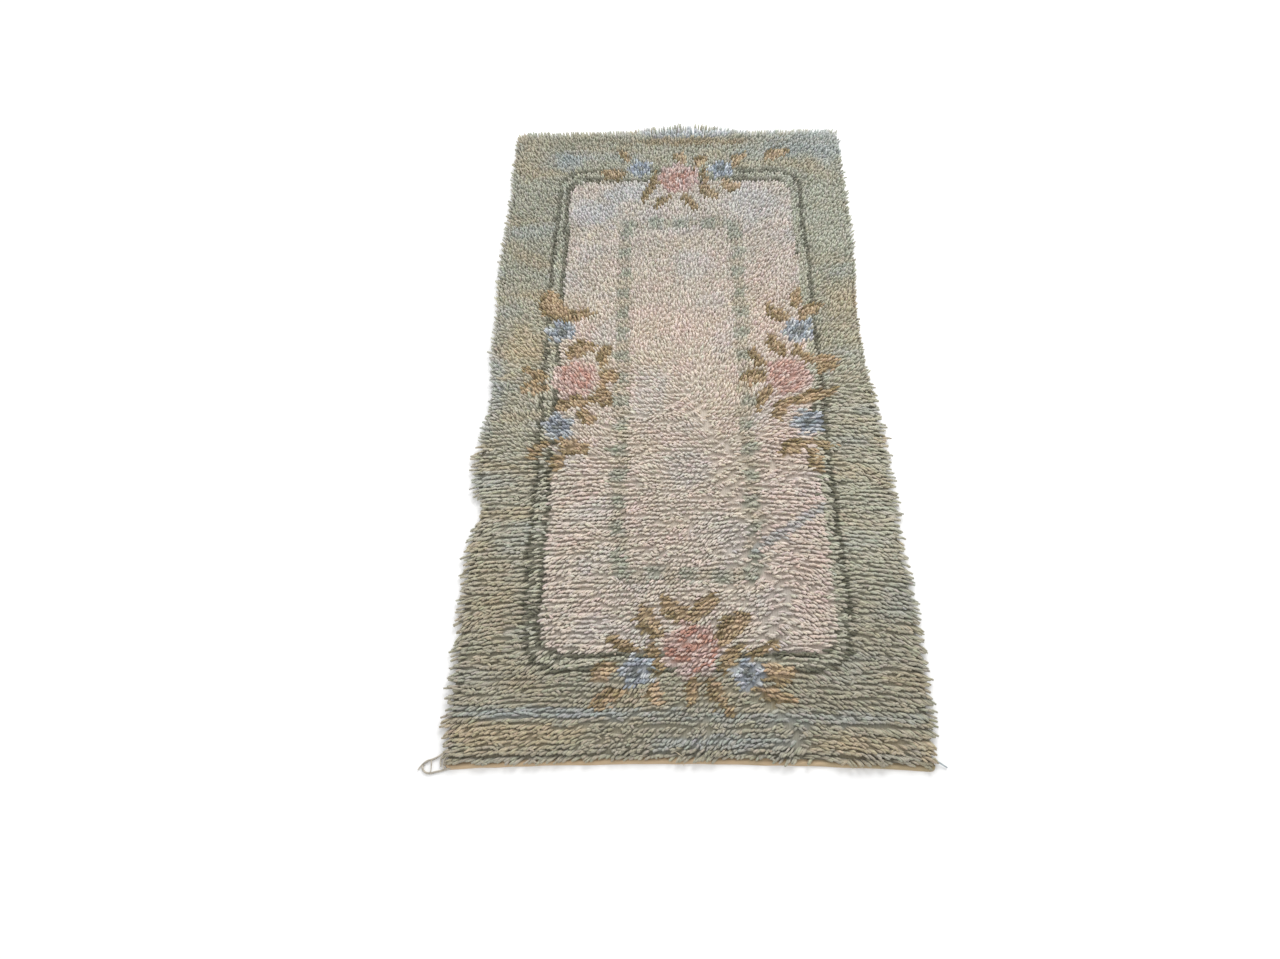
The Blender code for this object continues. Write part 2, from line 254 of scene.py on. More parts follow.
# Broad changes of tone in the border and panel
Patch = namedtuple("Patch", "x y half_x half_y colour share")
PATCHES = (
    Patch(x=0.32, y=0.65, half_x=0.16, half_y=0.05, colour=BLUE_GREY, share=0.50),
    Patch(x=-0.25, y=0.60, half_x=0.05, half_y=0.03, colour=BLUE_GREY, share=0.55),
    Patch(x=0.02, y=0.690, half_x=0.12, half_y=0.014, colour=HUMP_PALE, share=0.9),
    Patch(x=0.02, y=0.660, half_x=0.15, half_y=0.014, colour=LEAF, share=0.7),
    Patch(x=-0.22, y=0.665, half_x=0.14, half_y=0.030, colour=NEAR_SAGE, share=0.45),
    Patch(x=-0.30, y=0.60, half_x=0.05, half_y=0.05, colour=GOLDEN, share=0.4),
    Patch(x=-0.34, y=0.00, half_x=0.02, half_y=0.12, colour=BLUE_GREY, share=0.4),
    Patch(x=-0.29, y=0.09, half_x=0.05, half_y=0.05, colour=GOLDEN, share=0.5),
    Patch(x=-0.20, y=-0.608, half_x=0.16, half_y=0.010, colour=BLUE_GREY, share=0.6),
    Patch(x=0.16, y=-0.615, half_x=0.20, half_y=0.010, colour=BLUE_GREY, share=0.4),
    Patch(x=0.06, y=-0.650, half_x=0.12, half_y=0.012, colour=BLUE_GREY, share=0.5),
    Patch(x=-0.26, y=-0.640, half_x=0.12, half_y=0.020, colour=GOLDEN, share=0.7),
    Patch(x=0.27, y=-0.655, half_x=0.10, half_y=0.014, colour=GOLDEN, share=0.7),
    Patch(x=0.32, y=0.18, half_x=0.05, half_y=0.08, colour=GOLDEN, share=0.4),
    Patch(x=-0.31, y=-0.42, half_x=0.05, half_y=0.08, colour=GOLDEN, share=0.35),
    Patch(x=0.30, y=-0.30, half_x=0.06, half_y=0.10, colour=PALE_SAGE, share=0.5),
    Patch(x=0.30, y=0.40, half_x=0.06, half_y=0.14, colour=PALE_SAGE, share=0.6),
    Patch(x=-0.17, y=0.44, half_x=0.05, half_y=0.04, colour=CREAM_COOL, share=0.7),
    Patch(x=-0.10, y=0.50, half_x=0.05, half_y=0.03, colour=CREAM_COOL, share=0.7),
    Patch(x=0.16, y=0.46, half_x=0.07, half_y=0.05, colour=CREAM_COOL, share=0.5),
    Patch(x=0.00, y=0.14, half_x=0.08, half_y=0.05, colour=CREAM_PINK, share=0.5),
    Patch(x=0.19, y=-0.10, half_x=0.06, half_y=0.45, colour=CREAM_PINK, share=0.5),
)
# A faint bluish band that runs slantwise over the lower right of the panel
STREAK_FROM = (0.234, -0.259)
STREAK_TO = (0.118, -0.336)
STREAK_HALF = 0.0080


def frame_distance(shape, x, y):
    """Distance out from a round-cornered rectangle, negative inside it."""
    over_x = np.abs(x - shape.x) - (shape.half_x - shape.radius)
    over_y = np.abs(y - shape.y) - (shape.half_y - shape.radius)
    outside = np.hypot(np.maximum(over_x, 0.0), np.maximum(over_y, 0.0))
    return outside + np.minimum(np.maximum(over_x, over_y), 0.0) - shape.radius


def paint(colours, where, colour):
    """Lays a colour over the colours, where is its share at each place."""
    share = np.clip(where, 0.0, 1.0)[:, None]
    return colours * (1.0 - share) + srgb(colour) * share


def leaf_parts(leaf, x, y):
    """Places inside one bent, pointed leaf, on its darker side, and in its lighter middle."""
    turn = math.radians(leaf.turn)
    half_length = LEAF_LONGER * leaf.length / 2.0
    half_width = LEAF_WIDER * leaf.width / 2.0
    along = ((x - leaf.x) * math.cos(turn) + (y - leaf.y) * math.sin(turn)) / half_length
    across = (-(x - leaf.x) * math.sin(turn) + (y - leaf.y) * math.cos(turn)) / half_width
    across = across + 0.5 * along ** 2 - 0.2
    edge = np.sqrt(np.maximum(1.0 - along ** 2, 0.0))
    inside = np.abs(across) < edge
    middle = inside & (np.abs(across + 0.1) < 0.45) & (np.abs(along) < 0.60) & (leaf.width > 0.021)
    return inside, inside & (across > 0.20 * edge), middle


def bloom_parts(bloom, x, y):
    """A blue flower of five petals: places inside it, and its light, dark and centre parts."""
    radius = np.hypot(x - bloom.x, y - bloom.y) / bloom.radius
    angle = np.arctan2(y - bloom.y, x - bloom.x)
    between = np.cos(5.0 * angle + bloom.x * 40.0)
    inside = radius < 0.88 + 0.14 * between
    return inside, inside & (between > -0.1) & (radius > 0.42), inside & (between < -0.5), radius < 0.30


def rose_parts(rose, x, y):
    """A full rose: places inside it, in its pink petals, in their coral edges and in the light heart."""
    radius = np.hypot(x - rose.x, y - rose.y) / rose.radius
    angle = np.arctan2(y - rose.y, x - rose.x) + rose.turn
    inside = radius < 0.92 + 0.10 * np.cos(7.0 * angle)
    from_heart = np.hypot(x - rose.x - rose.heart_x, y - rose.y - rose.heart_y) / rose.radius
    ring = (from_heart > 0.18) & (from_heart < 0.42)
    arcs = (from_heart > 0.54) & (radius < 0.80) & (np.sin(2.0 * angle + 9.0 * from_heart) > 0.25)
    return inside, inside & (from_heart < 0.90), inside & (ring | arcs), from_heart < 0.18


def border_colours(x, y):
    """The sage border, with drifts of golden and blue grey."""
    colours = np.tile(srgb(SAGE), (len(x), 1))
    warm = smooth(drift(x, y * 3.0, 0.10, 11) - 0.1)
    cool = smooth(drift(x, y * 3.0, 0.12, 12) - 0.35)
    colours = paint(colours, 0.45 * warm, GOLDEN)
    colours = paint(colours, 0.28 * cool, BLUE_GREY)
    colours = paint(colours, 0.45 * smooth((-0.30 - y) / 0.35), NEAR_SAGE)
    between = (frame_distance(OUTER_LINE, x, y) < 0.0) & (frame_distance(INNER_LINE, x, y) > 0.0)
    return paint(colours, 0.6 * between, PALE_SAGE)


def panel_colours(x, y):
    """The cream panel, with drifts of pinker, cooler and more golden cream."""
    cream = np.tile(srgb(CREAM), (len(x), 1))
    cream = paint(cream, 0.60 * smooth(drift(x, y * 1.5, 0.05, 14) - 0.1), CREAM_PINK)
    cream = paint(cream, 0.35 * smooth(drift(x, y * 1.5, 0.07, 15) - 0.3), CREAM_COOL)
    return paint(cream, 0.40 * smooth(drift(x, y * 1.5, 0.06, 16) - 0.3), CREAM_GOLD)


def paint_lines(colours, kind, x, y):
    """The two green lines around the panel, a little faded towards the far end."""
    for shape in (OUTER_LINE, INNER_LINE):
        line = np.abs(frame_distance(shape, x, y)) < LINE_HALF
        strength = mix(0.92, 0.74, smooth((y + 0.2) / 0.5)) + 0.08 * drift(x, y, 0.02, 13)
        colours = paint(colours, line * strength, GREEN)
        kind[line] = "lines"
    return colours


def paint_patches(colours, kind, panel, x, y):
    for patch in PATCHES:
        off = ((x - patch.x) / patch.half_x) ** 2 + ((y - patch.y) / patch.half_y) ** 2
        inside = np.exp(-off) * (panel == (patch.colour in (CREAM_COOL, CREAM_PINK)))
        share = patch.share * smooth(inside * 1.6 + 0.3 * drift(x, y * 2.0, 0.03, 17) - 0.2)
        colours = paint(colours, share * (inside > 0.05) * (kind != "lines"), patch.colour)
    return colours


def paint_beads(colours, kind, panel, x, y):
    """The inner frame, a row of blotches that are green and olive in turn."""
    bead = np.abs(frame_distance(BEADS, x, y)) < BEAD_HALF * (0.85 + 0.25 * drift(x, y, 0.02, 18))
    level = np.abs(y - BEADS.y) > BEADS.half_y - BEAD_HALF * 1.6
    along = np.where(level, x - BEADS.x, y - BEADS.y)
    wave = np.cos(2.0 * math.pi * along / BEAD_PITCH)
    green_bead = wave > np.where(level, -0.3, 0.0)
    blotch = smooth(0.6 + 0.5 * np.abs(wave))
    colours = paint(colours, bead * green_bead * blotch * 0.85, BEAD_GREEN)
    colours = paint(colours, bead * ~green_bead * blotch * 0.60, BEAD_OLIVE)
    kind[bead & panel] = "beads"
    return colours


def paint_streak(colours, panel, x, y):
    from_x, from_y = STREAK_FROM
    run = np.array(STREAK_TO) - np.array(STREAK_FROM)
    share = np.clip(((x - from_x) * run[0] + (y - from_y) * run[1]) / (run @ run), 0.0, 1.0)
    off = np.hypot(x - from_x - share * run[0], y - from_y - share * run[1])
    return paint(colours, 0.50 * (off < STREAK_HALF) * panel, BLUE_GREY)


def paint_bouquets(colours, kind, x, y):
    """Leaves, then the blue flowers and the roses over them, each with mottled yarn."""
    speckle = drift(x, y, 0.006, 19)
    ragged_x = x + 0.0020 * drift(x, y, 0.007, 35)
    ragged_y = y + 0.0020 * drift(x, y, 0.007, 36)
    for leaf in LEAVES:
        inside, dark, middle = leaf_parts(leaf, ragged_x, ragged_y)
        tone = mix(np.array(LEAF), np.array(LEAF_LIGHT), leaf.tone)
        colours = paint(colours, 0.95 * inside, tone)
        colours = paint(colours, 0.75 * dark, LEAF_DARK)
        colours = paint(colours, 0.70 * middle, LEAF_LIGHT)
        colours = paint(colours, 0.45 * inside * (speckle > 0.65), LEAF_LIGHT)
        kind[inside] = "leaves"
    for bloom in BLOOMS:
        inside, light, dark, centre = bloom_parts(bloom, x, y)
        colours = paint(colours, inside, BLUE)
        colours = paint(colours, 0.85 * light * (speckle > -0.5), BLUE_LIGHT)
        colours = paint(colours, 0.35 * dark, BLUE_DARK)
        colours = paint(colours, 0.75 * centre, BLUE_HEART)
        kind[inside] = "blooms"
    for rose in ROSES:
        inside, petals, coral, heart = rose_parts(rose, x, y)
        colours = paint(colours, inside, ROSE_PALE)
        colours = paint(colours, 0.80 * petals * (speckle < 0.6), ROSE)
        colours = paint(colours, rose.coral * coral * (speckle > -0.7), CORAL)
        colours = paint(colours, 0.80 * heart, ROSE_PALE)
        kind[inside] = "roses"
    return colours


def knot_colours(x, y):
    """Colour and kind of the knots seen at these places."""
    kind = np.full(len(x), "border", dtype="<U8")
    colours = paint_lines(border_colours(x, y), kind, x, y)
    panel = frame_distance(PANEL, x, y) < 0.0
    colours = np.where(panel[:, None], panel_colours(x, y), colours)
    kind[panel] = "panel"
    colours = paint_patches(colours, kind, panel, x, y)
    colours = paint_beads(colours, kind, panel, x, y)
    colours = paint_streak(colours, panel, x, y)
    colours = paint_bouquets(colours, kind, x, y)
    # The colours are made darker towards the near end, and towards the far end more in red than in blue
    near_darkening = NEAR_DARKER * smooth((0.05 - y) / 0.50)[:, None] * np.ones(3)
    far_darkening = smooth((y - 0.05) / 0.40)[:, None] * np.array(FAR_DARKER)
    return colours * (1.0 - near_darkening - far_darkening), kind


def vary(colours, spread, rng):
    """Yarn of one colour differs a little from end to end."""
    light = np.exp(spread[:, None] * rng.normal(0.0, 1.0, (len(colours), 1)))
    tint = np.exp(rng.normal(0.0, 0.025, (len(colours), 3)))
    return np.clip(colours * light * tint, 0.0, 0.95)


# Pile

# Height of the tips over the canvas, where the pile stands at the far end and where it lies flat
STANDING_RISE = 0.0195
FLAT_RISE = 0.0125
# How far a tip lies from its root
STANDING_REACH = 0.0070
FLAT_REACH_MIDDLE = 0.0112
FLAT_REACH_SIDES = 0.0155
# Which way the tips point left and right of the parting, in degrees from the rug's right
STANDING_LEFT = 125.0
STANDING_RIGHT = 55.0
FLAT_LEFT_MIDDLE = 218.0
FLAT_LEFT_SIDES = 204.0
FLAT_RIGHT = -30.0
# Where across the rug the parting runs
STANDING_PARTING = -0.02
FLAT_PARTING = 0.13
# How far down from the far end the pile starts to lie flat, as a share of the length
FLAT_FROM_MIDDLE = 0.43
FLAT_FROM_SIDES = 0.36

PILE_CORNER = 0.012                     # radius of the pile's near corners
RIM_WIDTH = 0.018                       # the side tufts grow from this width of pile
CLUMP_PITCH = 0.016                     # they stand in clumps this far apart
LAST_REACH = 0.0105                     # how far the last rows lean out over the far end
HUMP_X = 0.012                          # the hump in the far edge: its middle,
HUMP_HALF = 0.095                       # its half width
HUMP_RISE = 0.0070                      # and its extra height
MAT_SHARE = 0.60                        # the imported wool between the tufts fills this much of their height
# the mat's colours are multiplied by this: painted shade in the gaps between the tufts
MAT_PAINTED_SHADE = 0.80
PATH_STEPS = (0.0, 0.36, 0.76, 1.0)     # where a yarn end's rings lie along it
RING_SIZES = (0.70, 0.92, 1.05, 0.74)   # their radii, as shares of the yarn's
SIDES = 4

# Deep partings between the last rows at the near end: their depth in metres
Parting = namedtuple("Parting", "y start end depth")
PARTINGS = (
    Parting(y=-0.592, start=0.05, end=0.40, depth=0.0010),
    Parting(y=-0.611, start=-0.40, end=-0.08, depth=0.0020),
    Parting(y=-0.621, start=-0.36, end=0.40, depth=0.0026),
    Parting(y=-0.641, start=-0.04, end=0.40, depth=0.0018),
    Parting(y=-0.669, start=-0.40, end=0.00, depth=0.0015),
)


def corner_draw(y):
    """How far the pile's side rims draw in where they round the near corners."""
    past = np.clip(PILE_CORNER - (y + HALF_LENGTH - HEM_SHOWS), 0.0, PILE_CORNER)
    return PILE_CORNER - np.sqrt(PILE_CORNER ** 2 - past ** 2)


def on_canvas(along, across):
    """Places on the canvas, along from the near end and across from the left rim, both from 0 to 1."""
    y = mix(-HALF_LENGTH + HEM_SHOWS, HALF_LENGTH - FAR_TUFTS, along)
    x = mix(-side_rim(-1, y), side_rim(1, y), across)
    x = x - np.sign(x) * corner_draw(y) * smooth((np.abs(x) - 0.25) / 0.09)
    return x, y + (near_line(x) + HALF_LENGTH) * (1.0 - along) ** 2


def place_knots(rng):
    """Roots of all yarn ends, with the row each is in."""
    row, knot, end = np.meshgrid(np.arange(ROWS), np.arange(KNOTS), np.arange(ENDS), indexing="ij")
    row, knot, end = row.ravel(), knot.ravel(), end.ravel()
    x, y = on_canvas((row + 0.5) / ROWS, (knot + 0.27 + 0.46 * end) / KNOTS)
    y = y + np.where(end == 0, -0.0006, 0.0006) + rng.normal(0.0, 0.0004, len(y))
    x = x + rng.normal(0.0, 0.0006, len(x))
    return x, y, row


def flatness(x, y, outer):
    """0 where the pile stands, 1 where it lies flat along its rows."""
    near = (HALF_LENGTH - y) / (2.0 * HALF_LENGTH)
    flat_from = mix(FLAT_FROM_MIDDLE, FLAT_FROM_SIDES, outer)
    return smooth((near - flat_from + 0.05 * drift(x, y, 0.20, 21)) / 0.30)


def tip_run(x, y, flat, outer):
    """How far the tips lie from their roots to the right and towards the far end, away from the rims."""
    flat_reach = mix(FLAT_REACH_MIDDLE, FLAT_REACH_SIDES, outer)
    reach = mix(STANDING_REACH, flat_reach, flat) * (1.0 + 0.12 * drift(x, y, 0.05, 24))
    divide = mix(STANDING_PARTING, FLAT_PARTING, flat) + 0.030 * drift(x, y, 0.07, 22)
    soft = smooth((x - divide) / 0.50 + 0.5)
    hard = 1.0 * (smooth((x - divide) / 0.10 + 0.5) + 0.45 * drift(x, y, 0.010, 28) > 0.5)
    side = mix(soft, hard, smooth((flat - 0.10) / 0.45))
    left_way = mix(STANDING_LEFT, mix(FLAT_LEFT_MIDDLE, FLAT_LEFT_SIDES, outer), flat)
    right_way = mix(STANDING_RIGHT, FLAT_RIGHT, flat)
    way = mix(left_way, right_way, side) + mix(16.0, 12.0, flat) * drift(x, y, 0.045, 27)
    way = np.radians(way)
    return reach * np.cos(way), reach * np.sin(way) - 0.0008


def opened_partings(x, y):
    """How far the tips are moved along the rug to open the deep partings at the near end."""
    moved = np.zeros(len(x))
    for parting in PARTINGS:
        off = y - parting.y - 0.002 * drift(x, x * 0.0, 0.06, 32)
        depth = parting.depth * smooth((x - parting.start) / 0.05) * smooth((parting.end - x) / 0.05)
        moved += depth * np.sign(off) * np.exp(-(off / 0.009) ** 2)
    return moved


def rim_tufts(x, y, flat, from_near):
    """At the side rims: how much a place belongs to the rim, and how far its tips reach out and along."""
    edge = np.minimum(side_rim(-1, y) + x, side_rim(1, y) - x) - corner_draw(y)
    outward = np.where(x < 0.0, -1.0, 1.0)
    rim = smooth(1.0 - edge / RIM_WIDTH)
    clump = np.floor((y + 0.003 * drift(y, x * 0.0, 0.02, 29)) / CLUMP_PITCH)
    off_clump = y - (clump + 0.5) * CLUMP_PITCH
    chance = 0.5 + 0.5 * np.sin(clump * 12.9898 + outward * 4.0) * np.cos(clump * 4.1)
    reach = mix(0.0080, 0.0115, flat) + mix(0.0030, 0.0070, flat) * chance - 0.35 * np.abs(off_clump)
    pulled_in = smooth((HALF_WIDTH - np.where(x < 0.0, side_rim(-1, y), side_rim(1, y))) / 0.011)
    reach = reach * (1.0 - 0.75 * pulled_in) * mix(0.45, 1.0, smooth((from_near - 0.010) / 0.040))
    return rim, outward * reach, -0.0070 * rim * pulled_in - 0.45 * off_clump * rim


# How yarn ends lie: their tips' run to the right and along the rug and their height, how flat the pile is,
# and how much each belongs to the trodden near end and to the last rows
Lean = namedtuple("Lean", "run_x run_y rise flat trodden last")


def lean_at(x, y, row):
    """How the yarn ends rooted at these places lie, before each one's own scatter."""
    outer = smooth(np.abs(x) / 0.30)
    flat = flatness(x, y, outer)
    rise = mix(STANDING_RISE, FLAT_RISE, flat) + 0.0010 * drift(x, y, 0.05, 23)
    run_x, run_y = tip_run(x, y, flat, outer)
    from_near = y - near_line(x) - HEM_SHOWS
    trodden = smooth(1.3 - from_near / 0.045)
    waver = mix(mix(0.0010, 0.0023, flat), 0.0013, smooth(1.4 - from_near / 0.090))
    run_y = run_y + waver * drift(x, row * 0.021, 0.024, 25) + opened_partings(x, y)

    rim, rim_run_x, rim_run_y = rim_tufts(x, y, flat, from_near)
    run_x = mix(run_x, rim_run_x, rim)
    rise = rise * mix(1.0, 0.50, rim)

    first = smooth(1.0 - from_near / 0.012)
    rise = rise * mix(1.0, 0.62, first) * mix(1.0, 0.88, trodden)
    from_far = HALF_LENGTH - FAR_TUFTS - y
    last = smooth(1.0 - from_far / 0.024)
    hump = np.exp(-((x - HUMP_X) / HUMP_HALF) ** 2) * smooth(1.0 - from_far / 0.050)
    hump = hump * (1.0 + 0.25 * drift(x, y * 0.0, 0.012, 33))
    rise = rise * mix(1.0, 0.50, last * np.clip(1.0 - hump, 0.0, 1.0)) + HUMP_RISE * hump
    run_y = run_y + rim_run_y - 0.0015 * first + LAST_REACH * last
    return Lean(run_x, run_y, rise, flat, trodden, last)


def scattered(lean, rng):
    """Each yarn end's own run and height."""
    scatter = rng.normal(0.0, 1.0, (4, len(lean.rise)))
    run_x = lean.run_x * (1.0 + 0.10 * scatter[0]) + mix(0.0016, 0.0014, lean.flat) * scatter[1]
    uneven = mix(mix(0.0023, 0.0010, lean.flat), 0.0019, lean.trodden) * mix(1.0, 0.35, lean.last)
    run_y = lean.run_y + uneven * scatter[2]
    return np.column_stack([run_x, run_y]), lean.rise * (1.0 + 0.055 * scatter[3])


def seen_at(x, y, z):
    """Where a point above the rug shows on it, from where the photo was taken."""
    cam_x, cam_y, cam_z = CAMERA_PLACE
    up = (z - 0.008) / (cam_z - z)
    return x + (x - cam_x) * up, y + (y - cam_y) * up


def strand_mesh(name, root, run, rise, colour, rng):
    """One mesh of tapered yarn ends that rise from their roots and bend over to their tips."""
    count, rings = len(root), len(PATH_STEPS)
    tip = root + np.column_stack([run, rise])
    reach = np.hypot(run[:, 0], run[:, 1])
    knee = root + np.column_stack([run * 0.22, rise * 0.86])
    heading = run / np.maximum(reach, 1e-6)[:, None]
    sideways = np.column_stack([-heading[:, 1], heading[:, 0], np.zeros(count)])
    turn = rng.uniform(0.0, math.pi / 2.0, count)
    thick = YARN_RADIUS * np.exp(rng.normal(0.0, 0.07, count))
    verts = np.zeros((count, rings, SIDES, 3))
    for ring, (t, size) in enumerate(zip(PATH_STEPS, RING_SIZES)):
        centre = (1 - t) ** 2 * root + 2 * t * (1 - t) * knee + t ** 2 * tip
        tangent = 2 * (1 - t) * (knee - root) + 2 * t * (tip - knee)
        tangent /= np.linalg.norm(tangent, axis=1)[:, None]
        over = np.cross(tangent, sideways)
        if 0.0 < t < 1.0:
            centre = centre + rng.normal(0.0, 0.0003, (count, 3))
        for side in range(SIDES):
            angle = turn + 2.0 * math.pi * side / SIDES
            spoke = np.cos(angle)[:, None] * sideways + np.sin(angle)[:, None] * over
            verts[:, ring, side] = centre + spoke * (thick * size)[:, None]
    base = (np.arange(count) * rings * SIDES)[:, None]
    faces = []
    for ring in range(rings - 1):
        for side in range(SIDES):
            a, b = ring * SIDES + side, ring * SIDES + (side + 1) % SIDES
            faces.append((a, b, b + SIDES, a + SIDES))
    top = (rings - 1) * SIDES
    faces.append((top, top + 1, top + 2, top + 3))
    quads = (base[:, :, None] + np.array(faces)[None]).reshape(-1, 4)
    around, lengthwise = yarn_uv(rings)
    mesh = mesh_from_quads(name, verts.reshape(-1, 3), quads)
    set_uv(mesh, "yarn", np.tile(np.stack([around, lengthwise], 1), (count, 1)))
    set_uv(mesh, "OFBake", bake_cells(count, around, lengthwise))
    tint = np.ones((count, rings * SIDES, 4))
    tint[:, :, :3] = colour[:, None, :]
    attribute = mesh.color_attributes.new("wool", "FLOAT_COLOR", "POINT")
    attribute.data.foreach_set("color", tint.ravel())
    return mesh


def yarn_uv(rings):
    """Around and along the yarn for each face corner of one yarn end, from 0 to 1."""
    around, lengthwise = [], []
    for ring in range(rings - 1):
        for side in range(SIDES):
            a, b = side / SIDES, (side + 1) / SIDES
            low, high = PATH_STEPS[ring] * 0.94, PATH_STEPS[ring + 1] * 0.94
            around += [a, b, b, a]
            lengthwise += [low, low, high, high]
    around += [0.4, 0.6, 0.6, 0.4]
    lengthwise += [0.96, 0.96, 1.0, 1.0]
    return np.array(around), np.array(lengthwise)


def bake_cells(count, around, lengthwise):
    """A map with one small cell for each yarn end."""
    columns = math.ceil(math.sqrt(count * 2.0))
    lines = math.ceil(count / columns)
    cell = np.arange(count)
    u = ((cell % columns)[:, None] + 0.06 + 0.88 * around[None]) / columns
    v = ((cell // columns)[:, None] + 0.04 + 0.92 * lengthwise[None]) / lines
    return np.stack([u, v], 2).reshape(-1, 2)


def mesh_from_quads(name, verts, quads):
    mesh = bpy.data.meshes.new(name)
    mesh.vertices.add(len(verts))
    mesh.vertices.foreach_set("co", verts.ravel())
    mesh.loops.add(quads.size)
    mesh.loops.foreach_set("vertex_index", quads.ravel().astype(np.int32))
    mesh.polygons.add(len(quads))
    mesh.polygons.foreach_set("loop_start", np.arange(0, quads.size, 4, dtype=np.int32))
    mesh.update(calc_edges=True)
    mesh.validate()
    return mesh


def set_uv(mesh, name, values):
    mesh.uv_layers.new(name=name).data.foreach_set("uv", values.ravel())


def add_piece(name, mesh, mat, replaced):
    piece = bpy.data.objects.new(name, mesh)
    bpy.context.scene.collection.objects.link(piece)
    mesh.materials.append(mat)
    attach(piece, "root")
    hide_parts(replaced)
    return piece


# Materials

def new_material(name, roughness, sheen):
    """A material with its nodes, links and shader, which has the wool or cotton finish."""
    mat = bpy.data.materials.new(name)
    mat.use_nodes = True
    nodes, links = mat.node_tree.nodes, mat.node_tree.links
    shader = nodes["Principled BSDF"]
    shader.inputs["Roughness"].default_value = roughness
    shader.inputs["Specular IOR Level"].default_value = 0.25
    shader.inputs["Sheen Weight"].default_value = sheen
    shader.inputs["Sheen Roughness"].default_value = 0.6
    return mat, nodes, links, shader


def maths(nodes, links, operation, first, second=None):
    """A math node, with numbers or sockets as its inputs."""
    node = nodes.new("ShaderNodeMath")
    node.operation = operation
    for socket, value in zip(node.inputs, (first, second)):
        if value is None:
            continue
        if isinstance(value, (int, float)):
            socket.default_value = value
        else:
            links.new(value, socket)
    return node.outputs[0]


def scale_colour(nodes, links, colour, factor):
    """A colour multiplied by a factor, both sockets."""
    node = nodes.new("ShaderNodeVectorMath")
    node.operation = "SCALE"
    links.new(colour, node.inputs[0])
    links.new(factor, node.inputs["Scale"])
    return node.outputs[0]


def add_bump(nodes, links, shader, height, strength, distance):
    bump = nodes.new("ShaderNodeBump")
    bump.inputs["Strength"].default_value = strength
    bump.inputs["Distance"].default_value = distance
    links.new(height, bump.inputs["Height"])
    links.new(bump.outputs[0], shader.inputs["Normal"])


def wool_material():
    """Plied wool: each tuft's own colour, with painted shade towards its root and in the grooves between the
    plies.
    """
    mat, nodes, links, shader = new_material("pile_wool", 0.92, 0.30)
    tuft = nodes.new("ShaderNodeAttribute")
    tuft.attribute_name = "wool"
    yarn = nodes.new("ShaderNodeUVMap")
    yarn.uv_map = "yarn"
    split = nodes.new("ShaderNodeSeparateXYZ")
    links.new(yarn.outputs[0], split.inputs[0])
    around = maths(nodes, links, "MULTIPLY", split.outputs[0], 3.0)
    along = maths(nodes, links, "MULTIPLY", split.outputs[1], 5.0)
    turns = maths(nodes, links, "MULTIPLY", maths(nodes, links, "ADD", around, along), 2.0 * math.pi)
    ply = maths(nodes, links, "SINE", turns)
    fibre = nodes.new("ShaderNodeTexNoise")
    fibre.inputs["Scale"].default_value = 1400.0
    fibre.inputs["Detail"].default_value = 2.0
    height = maths(nodes, links, "ADD", maths(nodes, links, "MULTIPLY", ply, 0.5), fibre.outputs["Fac"])
    # Painted shade: the yarn's colour is scaled from 0.62 at its root up to 1.0 along it
    root = nodes.new("ShaderNodeMapRange")
    root.inputs["From Min"].default_value = 0.05
    root.inputs["From Max"].default_value = 0.70
    root.inputs["To Min"].default_value = 0.62
    root.inputs["To Max"].default_value = 1.0
    links.new(split.outputs[1], root.inputs["Value"])
    # Painted shade in the grooves between the plies; the fibre noise also varies the tone a little
    painted_groove_shade = maths(nodes, links, "ADD", maths(nodes, links, "MULTIPLY", height, 0.14), 0.90)
    shade = maths(nodes, links, "MULTIPLY", root.outputs[0], painted_groove_shade)
    links.new(scale_colour(nodes, links, tuft.outputs["Color"], shade), shader.inputs["Base Color"])
    add_bump(nodes, links, shader, height, 0.5, 0.0006)
    return mat


def canvas_material():
    """Plain woven cotton: threads over and under, with a little soiling."""
    mat, nodes, links, shader = new_material("woven_canvas", 0.95, 0.15)
    place = nodes.new("ShaderNodeTexCoord")
    split = nodes.new("ShaderNodeSeparateXYZ")
    links.new(place.outputs["Object"], split.inputs[0])
    pace = math.pi / 0.0013
    warp = maths(nodes, links, "SINE", maths(nodes, links, "MULTIPLY", split.outputs[0], pace))
    weft = maths(nodes, links, "SINE", maths(nodes, links, "MULTIPLY", split.outputs[1], pace))
    weave = maths(nodes, links, "MULTIPLY", warp, weft)
    soil = nodes.new("ShaderNodeTexNoise")
    soil.inputs["Scale"].default_value = 35.0
    soil.inputs["Detail"].default_value = 4.0
    links.new(place.outputs["Object"], soil.inputs["Vector"])
    shade = maths(nodes, links, "ADD", maths(nodes, links, "MULTIPLY", weave, 0.08),
                  maths(nodes, links, "MULTIPLY", soil.outputs["Fac"], 0.30))
    tone = nodes.new("ShaderNodeAttribute")
    tone.attribute_name = "wool"
    factor = maths(nodes, links, "ADD", shade, 0.84)
    links.new(scale_colour(nodes, links, tone.outputs["Color"], factor), shader.inputs["Base Color"])
    add_bump(nodes, links, shader, weave, 0.6, 0.0005)
    return mat


def thread_material(name, tone):
    """A single plied thread of one tone, with soft mottling."""
    mat, nodes, links, shader = new_material(name, 0.92, 0.30)
    mottle = nodes.new("ShaderNodeTexNoise")
    mottle.inputs["Scale"].default_value = 500.0
    ramp = nodes.new("ShaderNodeValToRGB")
    ramp.color_ramp.elements[0].position = 0.30
    ramp.color_ramp.elements[0].color = (*(srgb(tone) * 0.62), 1.0)
    ramp.color_ramp.elements[1].position = 0.70
    ramp.color_ramp.elements[1].color = (*np.minimum(srgb(tone) * 1.15, 0.95), 1.0)
    links.new(mottle.outputs["Fac"], ramp.inputs[0])
    links.new(ramp.outputs[0], shader.inputs["Base Color"])
    add_bump(nodes, links, shader, mottle.outputs["Fac"], 0.6, 0.0005)
    return mat


